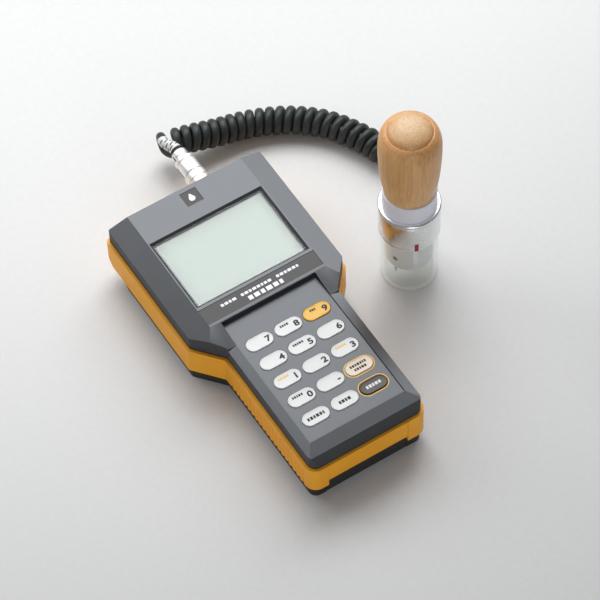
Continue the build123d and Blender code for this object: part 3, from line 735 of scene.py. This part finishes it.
def make_barrel():
    """The plug's barrel: a wide grip with a groove, and a narrower tail."""
    step = BARREL_END - 0.0066
    profile = [
        (0.0, BARREL_NOSE),
        (0.0042, BARREL_NOSE),
        (0.0042, RING_END + 0.0003),
        (BARREL_RADIUS, RING_END + 0.0003),
        (BARREL_RADIUS, step - 0.0032),
        (BARREL_RADIUS - 0.0003, step - 0.0030),
        (BARREL_RADIUS - 0.0003, step - 0.0025),
        (BARREL_RADIUS, step - 0.0023),
        (BARREL_RADIUS, step),
        (TAIL_RADIUS, step),
        (TAIL_RADIUS, step + 0.0020),
        (TAIL_RADIUS - 0.0003, step + 0.0022),
        (TAIL_RADIUS - 0.0003, step + 0.0026),
        (TAIL_RADIUS, step + 0.0028),
        (TAIL_RADIUS, BARREL_END),
        (0.0, BARREL_END),
    ]
    bm = along_plug(lathe(rounded(profile, 0.00035, 3)))
    piece = placed("plug_barrel_shell", bm, "chrome", "meter", 35, "plug_barrel")
    refinish(piece, "plug_satin")
    return piece


def make_barrel_slots():
    """Slots along the plug's sides, where a tool holds it, drawn as dark strips that paint the shade inside
    them.
    """
    bm = bmesh.new()
    for angle, start, length, radius in (
        (pi, RING_END + 0.0010, 0.0085, BARREL_RADIUS),
        (0.0, RING_END + 0.0010, 0.0085, BARREL_RADIUS),
        (0.92 * pi, BARREL_END - 0.0058, 0.0046, TAIL_RADIUS),
    ):
        out = Vector((cos(angle), 0, sin(angle)))
        side = Vector((-sin(angle), 0, cos(angle)))
        middle = Vector((PLUG_X, start + length / 2, PLUG_Z)) + out * (radius - 0.00008)
        size = Matrix((out * 0.0004, Vector((0, length, 0)), side * 0.0009)).transposed().to_4x4()
        corners = bmesh.ops.create_cube(bm, size=1.0)["verts"]
        bmesh.ops.transform(bm, matrix=Matrix.Translation(middle) @ size, verts=corners)
    bmesh.ops.bevel(bm, geom=bm.edges, offset=0.00008, segments=2, affect="EDGES")
    return placed("plug_slots", bm, "screw_dark", "meter", 60)


def make_seal_ring():
    """The black seal ring between the barrel and the white sleeve."""
    profile = [
        (0.0, BARREL_END),
        (SEAL_RADIUS - 0.0004, BARREL_END),
        (SEAL_RADIUS, BARREL_END + 0.0008),
        (SEAL_RADIUS - 0.0003, BARREL_END + 0.0015),
        (SEAL_RADIUS, BARREL_END + 0.0022),
        (SEAL_RADIUS - 0.0004, SLEEVE_START),
        (0.0, SLEEVE_START),
    ]
    bm = along_plug(lathe(rounded(profile, 0.0003, 3), 64))
    return placed("plug_seal_ring", bm, "gland_rubber", "meter", 50, "plug_gland_ring")


def sleeve_radius(travel):
    """The sleeve's radius at a distance along it."""
    return SLEEVE_RADIUS - SLEEVE_TAPER * travel / SLEEVE_LENGTH


def make_sleeve():
    """The white flexible sleeve, which follows the wire's bend and tapers."""
    steps = 48
    travels = [SLEEVE_LENGTH * n / steps for n in range(steps + 1)]
    bm = tube_mesh([wire.at(t) for t in travels], [sleeve_radius(t) for t in travels], 48)
    return placed("strain_sleeve", bm, "sleeve_white", "meter", 40, "plug_strain_relief")


def make_sleeve_slots():
    """The dark slots in the sleeve, in staggered rings."""
    half_width = 0.00032
    half_arc = radians(27)
    bm = bmesh.new()
    for row in range(5):
        travel = 0.0020 + 0.0019 * row
        centre = wire.at(travel)
        tangent = wire.direction(travel, 0.0008)
        first = (Vector((1, 0, 0)) - tangent * tangent.x).normalized()
        second = tangent.cross(first)
        radius = sleeve_radius(travel) + 0.00005
        for k in range(4):
            middle = pi / 2 * (k + 0.5 * (row % 2)) + pi / 4
            angles = [middle + half_arc * (n / 4 - 1) for n in range(9)]
            arc = [centre + (first * cos(a) + second * sin(a)) * radius for a in angles]
            low = [bm.verts.new(point - tangent * half_width) for point in arc]
            high = [bm.verts.new(point + tangent * half_width) for point in arc]
            for n in range(len(arc) - 1):
                bm.faces.new((low[n], low[n + 1], high[n + 1], high[n]))
    bmesh.ops.solidify(bm, geom=bm.faces[:], thickness=0.0002)
    return placed("strain_sleeve_slots", bm, "gland_rubber", "meter", 60)


def make_socket():
    """The socket's flange and threaded mouth in the rear wall."""
    profile = [
        (0.0, REAR - 0.014),
        (0.0052, REAR - 0.014),
        (0.0052, REAR),
        (0.0076, REAR),
        (0.0076, REAR + 0.0014),
        (0.0052, REAR + 0.0014),
        (0.0052, REAR + 0.008),
        (0.0043, REAR + 0.008),
        (0.0043, REAR + 0.0014),
        (0.0, REAR + 0.0014),
    ]
    bm = along_plug(lathe(rounded(profile, 0.0003, 3)))
    return placed("probe_socket_shell", bm, "chrome", "meter", 35, "probe_socket")


connector = [
    make_coupling_ring(),
    make_barrel(),
    make_barrel_slots(),
    make_seal_ring(),
    make_sleeve(),
    make_sleeve_slots(),
]
make_socket()
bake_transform(cord)


# ---- probe ---------------------------------------------------------------------------------------
GUARD_RADIUS = radius_of("clear_guard")
HOUSING_LOW = 0.0430
HOUSING_TOP = 0.0644
FLANGE_RADIUS = 0.0190
FLANGE_TOP = 0.0685
COLLAR_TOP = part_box("grip_collar")[1].z
GRIP_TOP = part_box("wooden_grip")[1].z
DOME_RADIUS = 0.0131
DOME_LOW = 0.1378


def make_grip():
    """The turned grip: it widens upwards, then a shoulder, a fine groove and a low dome."""
    outline = [
        (0.0155, COLLAR_TOP),
        (0.0162, 0.0870),
        (0.0173, 0.0940),
        (0.0183, 0.1050),
        (0.01875, 0.1150),
        (0.0189, 0.1230),
        (0.0186, 0.1290),
        (0.0179, 0.1320),
        (0.0169, 0.1346),
        (0.0157, 0.1363),
        (0.0143, 0.1371),
    ]
    body = [(p.x, p.z) for p in spline_points([(r, 0, z) for r, z in outline], 8)]
    groove = [(0.0140, 0.1370), (0.0137, 0.1370), (0.0133, 0.1375)]
    first = radians(4)
    steps = 14
    dome = []
    for n in range(steps):
        angle = first + (pi / 2 - first) * n / steps
        dome.append((DOME_RADIUS * cos(angle), DOME_LOW + (GRIP_TOP - DOME_LOW) * sin(angle)))
    dome.append((0.0, GRIP_TOP))
    profile = [(0.0, COLLAR_TOP), (0.0151, COLLAR_TOP)] + body + groove + dome
    bm = at_probe(lathe(profile, 128))
    return placed("turned_grip", bm, "wood_grip", "probe", 50, "wooden_grip")


def make_collar():
    """The white collar, with a fine groove under the grip."""
    profile = [
        (0.0, HOUSING_TOP),
        (0.0159, HOUSING_TOP),
        (0.0159, FLANGE_TOP),
        (0.0168, FLANGE_TOP),
        (0.0168, 0.0700),
        (0.0163, COLLAR_TOP - 0.0016),
        (0.0166, COLLAR_TOP - 0.0011),
        (0.0165, COLLAR_TOP),
        (0.0, COLLAR_TOP),
    ]
    bm = at_probe(lathe(rounded(profile, 0.0005), 128))
    return placed("collar_shell", bm, "collar_white", "probe", 35, "grip_collar")


def make_flange():
    """The polished ring, with rounded lips."""
    bore = 0.01595
    profile = [
        (bore, HOUSING_TOP),
        (FLANGE_RADIUS - 0.0006, HOUSING_TOP),
        (FLANGE_RADIUS - 0.0001, 0.0650),
        (FLANGE_RADIUS - 0.0004, 0.0656),
        (FLANGE_RADIUS, 0.0663),
        (FLANGE_RADIUS, 0.0677),
        (FLANGE_RADIUS - 0.0008, FLANGE_TOP),
        (bore, FLANGE_TOP),
    ]
    bm = at_probe(lathe(rounded(profile, 0.0004), 128))
    return placed("flange_shell", bm, "chrome", "probe", 35, "flange_ring")


def make_housing():
    """The chrome housing over the guard: a cup that is open below, with a fine line near its edge."""
    bolt_hole = 0.0031
    bore = 0.0175
    radius = 0.0185
    ceiling = 0.0614
    profile = [
        (bolt_hole, ceiling),
        (bore, ceiling),
        (bore, HOUSING_LOW),
        (radius, HOUSING_LOW),
        (radius, 0.0449),
        (radius - 0.0001, 0.0451),
        (radius - 0.0001, 0.0453),
        (radius, 0.0455),
        (radius, HOUSING_TOP),
        (bolt_hole, HOUSING_TOP),
    ]
    bm = at_probe(lathe(rounded(profile, 0.0003), 128))
    return placed("housing_shell", bm, "chrome", "probe", 35, "probe_housing")


def make_guard_rim():
    """An opaque white ring at the guard's mouth: a painted highlight for the bright edge of the clear
    plastic.
    """
    wall = 0.0024
    height = 0.0006
    profile = [
        (GUARD_RADIUS - wall, 0.0),
        (GUARD_RADIUS, 0.0),
        (GUARD_RADIUS + 0.00004, height / 2),
        (GUARD_RADIUS, height),
        (GUARD_RADIUS - wall, height),
    ]
    bm = at_probe(lathe(profile, 128))
    return placed("guard_rim_highlight", bm, "sleeve_white", "guard", 30)


def make_spring():
    """The wire spring that pushes the guard down."""
    low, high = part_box("guard_spring")
    tall = high.z - low.z
    thickness = 0.0008
    reach = radius_of("guard_spring") - thickness / 2
    coils = 4
    steps = 32 * coils
    points = []
    for n in range(steps + 1):
        angle = 2 * pi * coils * n / steps
        height = low.z + thickness / 2 + (tall - thickness) * n / steps
        points.append(PROBE + Vector((reach * cos(angle), reach * sin(angle), height)))
    bm = tube_mesh(points, [thickness / 2] * len(points), 10)
    spring = placed("spring_coil", bm, "steel", "probe", 60, "guard_spring")
    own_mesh(spring)


make_guard_rim()
make_spring()
make_grip()
make_collar()
make_flange()
make_housing()


# ---- shells with soft edges ----------------------------------------------------------------------
for shell in (
    ("top_cover", "cover_grey", "meter", 0.00035),
    ("bottom_case", "case_black", "meter", 0.0003),
    ("side_band", "band_orange", "meter", 0.00025),
    ("battery_door", "band_orange", "battery_door", 0.0003),
    ("battery_door_base", "case_black", "battery_door", 0.0003),
    ("keypad_panel", "panel_grey", "meter", 0.0001),
    ("clear_guard", "guard_clear", "guard", 0.0004, 3),
    ("electrode_block", "block_white", "probe", 0.0003),
    ("label_strip", "plate_dark", "meter", 0.0001),
    ("badge_plate", "plate_dark", "meter", 0.0001),
):
    softened(*shell)


# ---- keys and their marks ------------------------------------------------------------------------
KEYS = [
    "key_7", "key_8", "key_9",
    "key_4", "key_5", "key_6",
    "key_1", "key_2", "key_3",
    "key_0", "key_minus", "key_enter",
    "key_select", "key_offset", "key_power",
]
KEY_SLOTS = {"key_9": "key_orange", "key_enter": "key_cream", "key_power": "key_dark"}
KEY_LENGTH = 0.0175
KEY_WIDTH = 0.0092
KEY_FLANGE = 0.0017
KEY_FLANGE_TOP = 0.0395
PRINT_DEPTH = 0.00003
PRINT_RISE = 0.00004
DIGITS = {f"key_{n}": str(n) for n in range(10)}
DIGITS["key_minus"] = "-"
DIGIT_SIZE = 0.0055
DIGIT_WEIGHT = 0.00020
DARK_PRINT = "gland_rubber"
WHITE_PRINT = "collar_white"
SMALL_WORDS = {
    "key_8": (4, DARK_PRINT),
    "key_5": (5, DARK_PRINT),
    "key_9": (3, DARK_PRINT),
    "key_0": (5, DARK_PRINT),
    "key_3": (5, "key_orange"),
    "key_1": (5, "key_orange"),
}
LARGE_WORDS = {
    "key_select": (6, DARK_PRINT),
    "key_offset": (4, DARK_PRINT),
    "key_power": (5, "key_white"),
}
BLOCK_WIDTHS = (0.9, 1.1, 0.8, 1.2, 1.0, 0.7)
BLOCK_GAP = 0.36


def pill_ring(bm, length, width, height, middle, arc=14):
    """A ring of vertices round a bar with round ends."""
    radius = width / 2
    reach = length / 2 - radius
    ring = []
    for side, start in ((1, -pi / 2), (-1, pi / 2)):
        for n in range(arc + 1):
            angle = start + pi * n / arc
            place = (middle.x + side * reach + radius * cos(angle), middle.y + radius * sin(angle), height)
            ring.append(bm.verts.new(place))
    return ring


def pill_solid(levels, middle):
    """A solid whose outline is a bar with round ends, from (length, width, height) levels upwards."""
    bm = bmesh.new()
    stack_rings(bm, [pill_ring(bm, length, width, height, middle) for length, width, height in levels])
    return bm


def make_key(name):
    """A key with a soft raised rim and a slightly hollow top."""
    low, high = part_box(name)
    steps = (
        (-KEY_FLANGE, low.z),
        (-KEY_FLANGE, KEY_FLANGE_TOP),
        (0, KEY_FLANGE_TOP),
        (0, high.z - 0.00035),
        (0.00012, high.z - 0.00018),
        (0.0004, high.z - 0.00004),
        (0.0008, high.z),
        (0.0012, high.z - 0.00002),
        (0.0017, high.z - 0.00012),
        (0.0022, high.z - 0.00014),
    )
    levels = [(KEY_LENGTH - inset, KEY_WIDTH - inset, height) for inset, height in steps]
    bm = pill_solid(levels, middle_of(name))
    return placed(name + ".cap", bm, KEY_SLOTS.get(name, "key_white"), name, 30, name)


def make_digit(name, top):
    """A digit near a key's right end: a thin solid from the default font, widened."""
    data = bpy.data.curves.new(name, "FONT")
    data.body = DIGITS[name]
    data.size = DIGIT_SIZE
    data.align_x = "CENTER"
    data.align_y = "CENTER"
    data.extrude = PRINT_DEPTH
    data.offset = DIGIT_WEIGHT
    data.resolution_u = 6
    holder = bpy.data.objects.new(name, data)
    mesh = bpy.data.meshes.new_from_object(holder)
    bm = bmesh.new()
    bm.from_mesh(mesh)
    bmesh.ops.remove_doubles(bm, verts=bm.verts, dist=WELD / 2)
    bmesh.ops.scale(bm, vec=(1.2, 1, 1), verts=bm.verts)
    middle = middle_of(name)
    bmesh.ops.translate(bm, vec=(middle.x + 0.0053, middle.y - 0.0007, top), verts=bm.verts)
    bpy.data.objects.remove(holder)
    bpy.data.curves.remove(data)
    bpy.data.meshes.remove(mesh)
    placed(name + ".digit", bm, DARK_PRINT, name, 60)


def make_words(name, rows, slot, body, wide=0.72):
    """Plain blocks where words are printed, from (middle x, middle y, block count, height, level) rows."""
    bm = bmesh.new()
    for x, y, count, height, level in rows:
        widths = [BLOCK_WIDTHS[k % len(BLOCK_WIDTHS)] * height * wide for k in range(count)]
        gap = BLOCK_GAP * height * wide
        edge = x - (sum(widths) + gap * (count - 1)) / 2
        for width in widths:
            corners = [(edge, y - height / 2), (edge + width, y - height / 2),
                       (edge + width, y + height / 2), (edge, y + height / 2)]
            levels = (level - PRINT_DEPTH, level + PRINT_RISE)
            stack_rings(bm, [[bm.verts.new((*c, z)) for c in corners] for z in levels])
            edge += width + gap
    placed(name, bm, slot, body, 60)


def make_key_marks(name):
    """The digit near a key's right end, and plain blocks where a function is named."""
    middle = middle_of(name)
    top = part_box(name)[1].z - 0.00012
    if name in DIGITS:
        make_digit(name, top)
    if name in SMALL_WORDS:
        count, slot = SMALL_WORDS[name]
        make_words(name + ".word", [(middle.x - 0.0018, middle.y + 0.0019, count, 0.0015, top)], slot, name)
    if name in LARGE_WORDS:
        count, slot = LARGE_WORDS[name]
        make_words(name + ".word", [(middle.x, middle.y, count, 0.0021, top)], slot, name)
    if name == "key_enter":
        rows = [(middle.x, middle.y + 0.0015, 7, 0.0017, top), (middle.x, middle.y - 0.0014, 5, 0.0017, top)]
        make_words(name + ".word", rows, DARK_PRINT, name)


def make_key_outline(name):
    """The printed orange line round a key, on the panel."""
    panel_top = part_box("keypad_panel")[1].z
    sunk = panel_top - 0.00004
    raised = panel_top + 0.00005
    gap = 0.0008
    outer = 0.0022
    bm = bmesh.new()
    loops = []
    for grown, height in ((gap, sunk), (gap, raised), (outer, raised), (outer, sunk)):
        loops.append(pill_ring(bm, KEY_LENGTH + grown, KEY_WIDTH + grown, height, middle_of(name)))
    for one, two in zip(loops, loops[1:] + loops[:1]):
        join_rings(bm, one, two)
    bmesh.ops.recalc_face_normals(bm, faces=bm.faces)
    placed(name + ".outline", bm, "key_orange", "meter", 60)


for key in KEYS:
    make_key(key)
    make_key_marks(key)
for key in ("key_enter", "key_power"):
    make_key_outline(key)


# ---- marks on the case ---------------------------------------------------------------------------
def make_label_marks():
    """Plain pale blocks where the label strip is printed."""
    low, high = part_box("label_strip")
    upper = high.y - 0.0040
    lower = low.y + 0.0034
    small = [(x, upper, count, 0.0018, high.z) for x, count in ((-0.0212, 4), (-0.0022, 8), (0.0194, 6))]
    make_words("label_marks_small", small, WHITE_PRINT, "meter", 1.12)
    make_words("label_marks_large", [(0.0020, lower, 6, 0.0030, high.z)], WHITE_PRINT, "meter", 1.05)


def make_badge():
    """A generic pale drop on the badge plate."""
    middle = middle_of("badge_plate")
    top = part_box("badge_plate")[1].z
    radius = 0.0020
    tip = 0.0036
    steps = 32
    outline = []
    for n in range(steps):
        angle = 2 * pi * n / steps
        narrowing = 1 - 0.55 * max(sin(angle), 0)
        rise = sin(angle) * (radius if sin(angle) < 0 else tip)
        outline.append((middle.x + radius * cos(angle) * narrowing, middle.y - 0.0007 + rise))
    bm = bmesh.new()
    levels = (top - 0.00003, top + 0.00005)
    stack_rings(bm, [[bm.verts.new((*place, z)) for place in outline] for z in levels])
    placed("badge_drop", bm, WHITE_PRINT, "meter", 60)


make_label_marks()
make_badge()


# ---- stage ---------------------------------------------------------------------------------------
def make_floor():
    """A wide pale tabletop, with painted shade that makes it a little darker towards the viewer."""
    bm = bmesh.new()
    bmesh.ops.create_grid(bm, x_segments=1, y_segments=1, size=6)
    mesh = bpy.data.meshes.new("floor")
    bm.to_mesh(mesh)
    bm.free()
    shade = Shader("tabletop")
    grain = shade.noise(0.004, detail=4)
    speckle = shade.ramp(grain, [(0.3, grey(0.72)), (0.7, grey(0.745))])
    # Painted shade: the colour darkens towards the viewer, standing in for the lamps' falloff.
    distance = shade.scaled(shade.axis("Y"), 0, 1, -0.30, 0.15)
    painted_falloff = shade.ramp(distance, [(0.0, 0.80), (1.0, 1.0)])
    shade.colour(shade.mix(1.0, speckle, painted_falloff, "MULTIPLY"))
    shade.roughness(shade.scaled(grain, 0.42, 0.5))
    mesh.materials.append(shade.material)
    floor = bpy.data.objects.new("floor", mesh)
    bpy.context.scene.collection.objects.link(floor)


def area_light(name, place, target, size, power):
    """A soft square lamp that faces a point."""
    data = bpy.data.lights.new(name, "AREA")
    data.size = size
    data.energy = power
    lamp = bpy.data.objects.new(name, data)
    lamp.location = place
    lamp.rotation_mode = "QUATERNION"
    lamp.rotation_quaternion = (Vector(target) - Vector(place)).to_track_quat("-Z", "Y")
    bpy.context.scene.collection.objects.link(lamp)


LAMPS = (
    ("key", (0.30, 0.66, 1.00), (0.05, 0.05, 0), 0.70, 8.2),
    ("rear", (-0.35, 0.75, 0.62), (-0.05, 0.20, 0), 0.50, 2.6),
    ("side", (0.92, 0.62, 0.84), (0.05, 0.0, 0), 0.55, 4.0),
    ("front", (-0.45, -1.10, 0.24), (0.02, 0.0, 0.04), 0.50, 3.0),
)
ROOM_FRONT = 0.16
ROOM_REAR = 0.46


def make_light():
    """Soft lamps behind and beside the object, a weak one in front, and a room brighter to the rear."""
    world = bpy.data.worlds.new("studio")
    world.use_nodes = True
    tree = world.node_tree
    backdrop = tree.nodes["Background"]
    backdrop.inputs["Color"].default_value = (0.95, 0.98, 1.0, 1)
    place = tree.nodes.new("ShaderNodeTexCoord")
    split = tree.nodes.new("ShaderNodeSeparateXYZ")
    spread = tree.nodes.new("ShaderNodeMapRange")
    spread.inputs["From Min"].default_value = -1
    spread.inputs["To Min"].default_value = ROOM_FRONT
    spread.inputs["To Max"].default_value = ROOM_REAR
    tree.links.new(place.outputs["Generated"], split.inputs["Vector"])
    tree.links.new(split.outputs["Y"], spread.inputs["Value"])
    tree.links.new(spread.outputs["Result"], backdrop.inputs["Strength"])
    bpy.context.scene.world = world
    for lamp in LAMPS:
        area_light(*lamp)


make_floor()
make_light()
bpy.context.scene.view_settings.view_transform = "Standard"
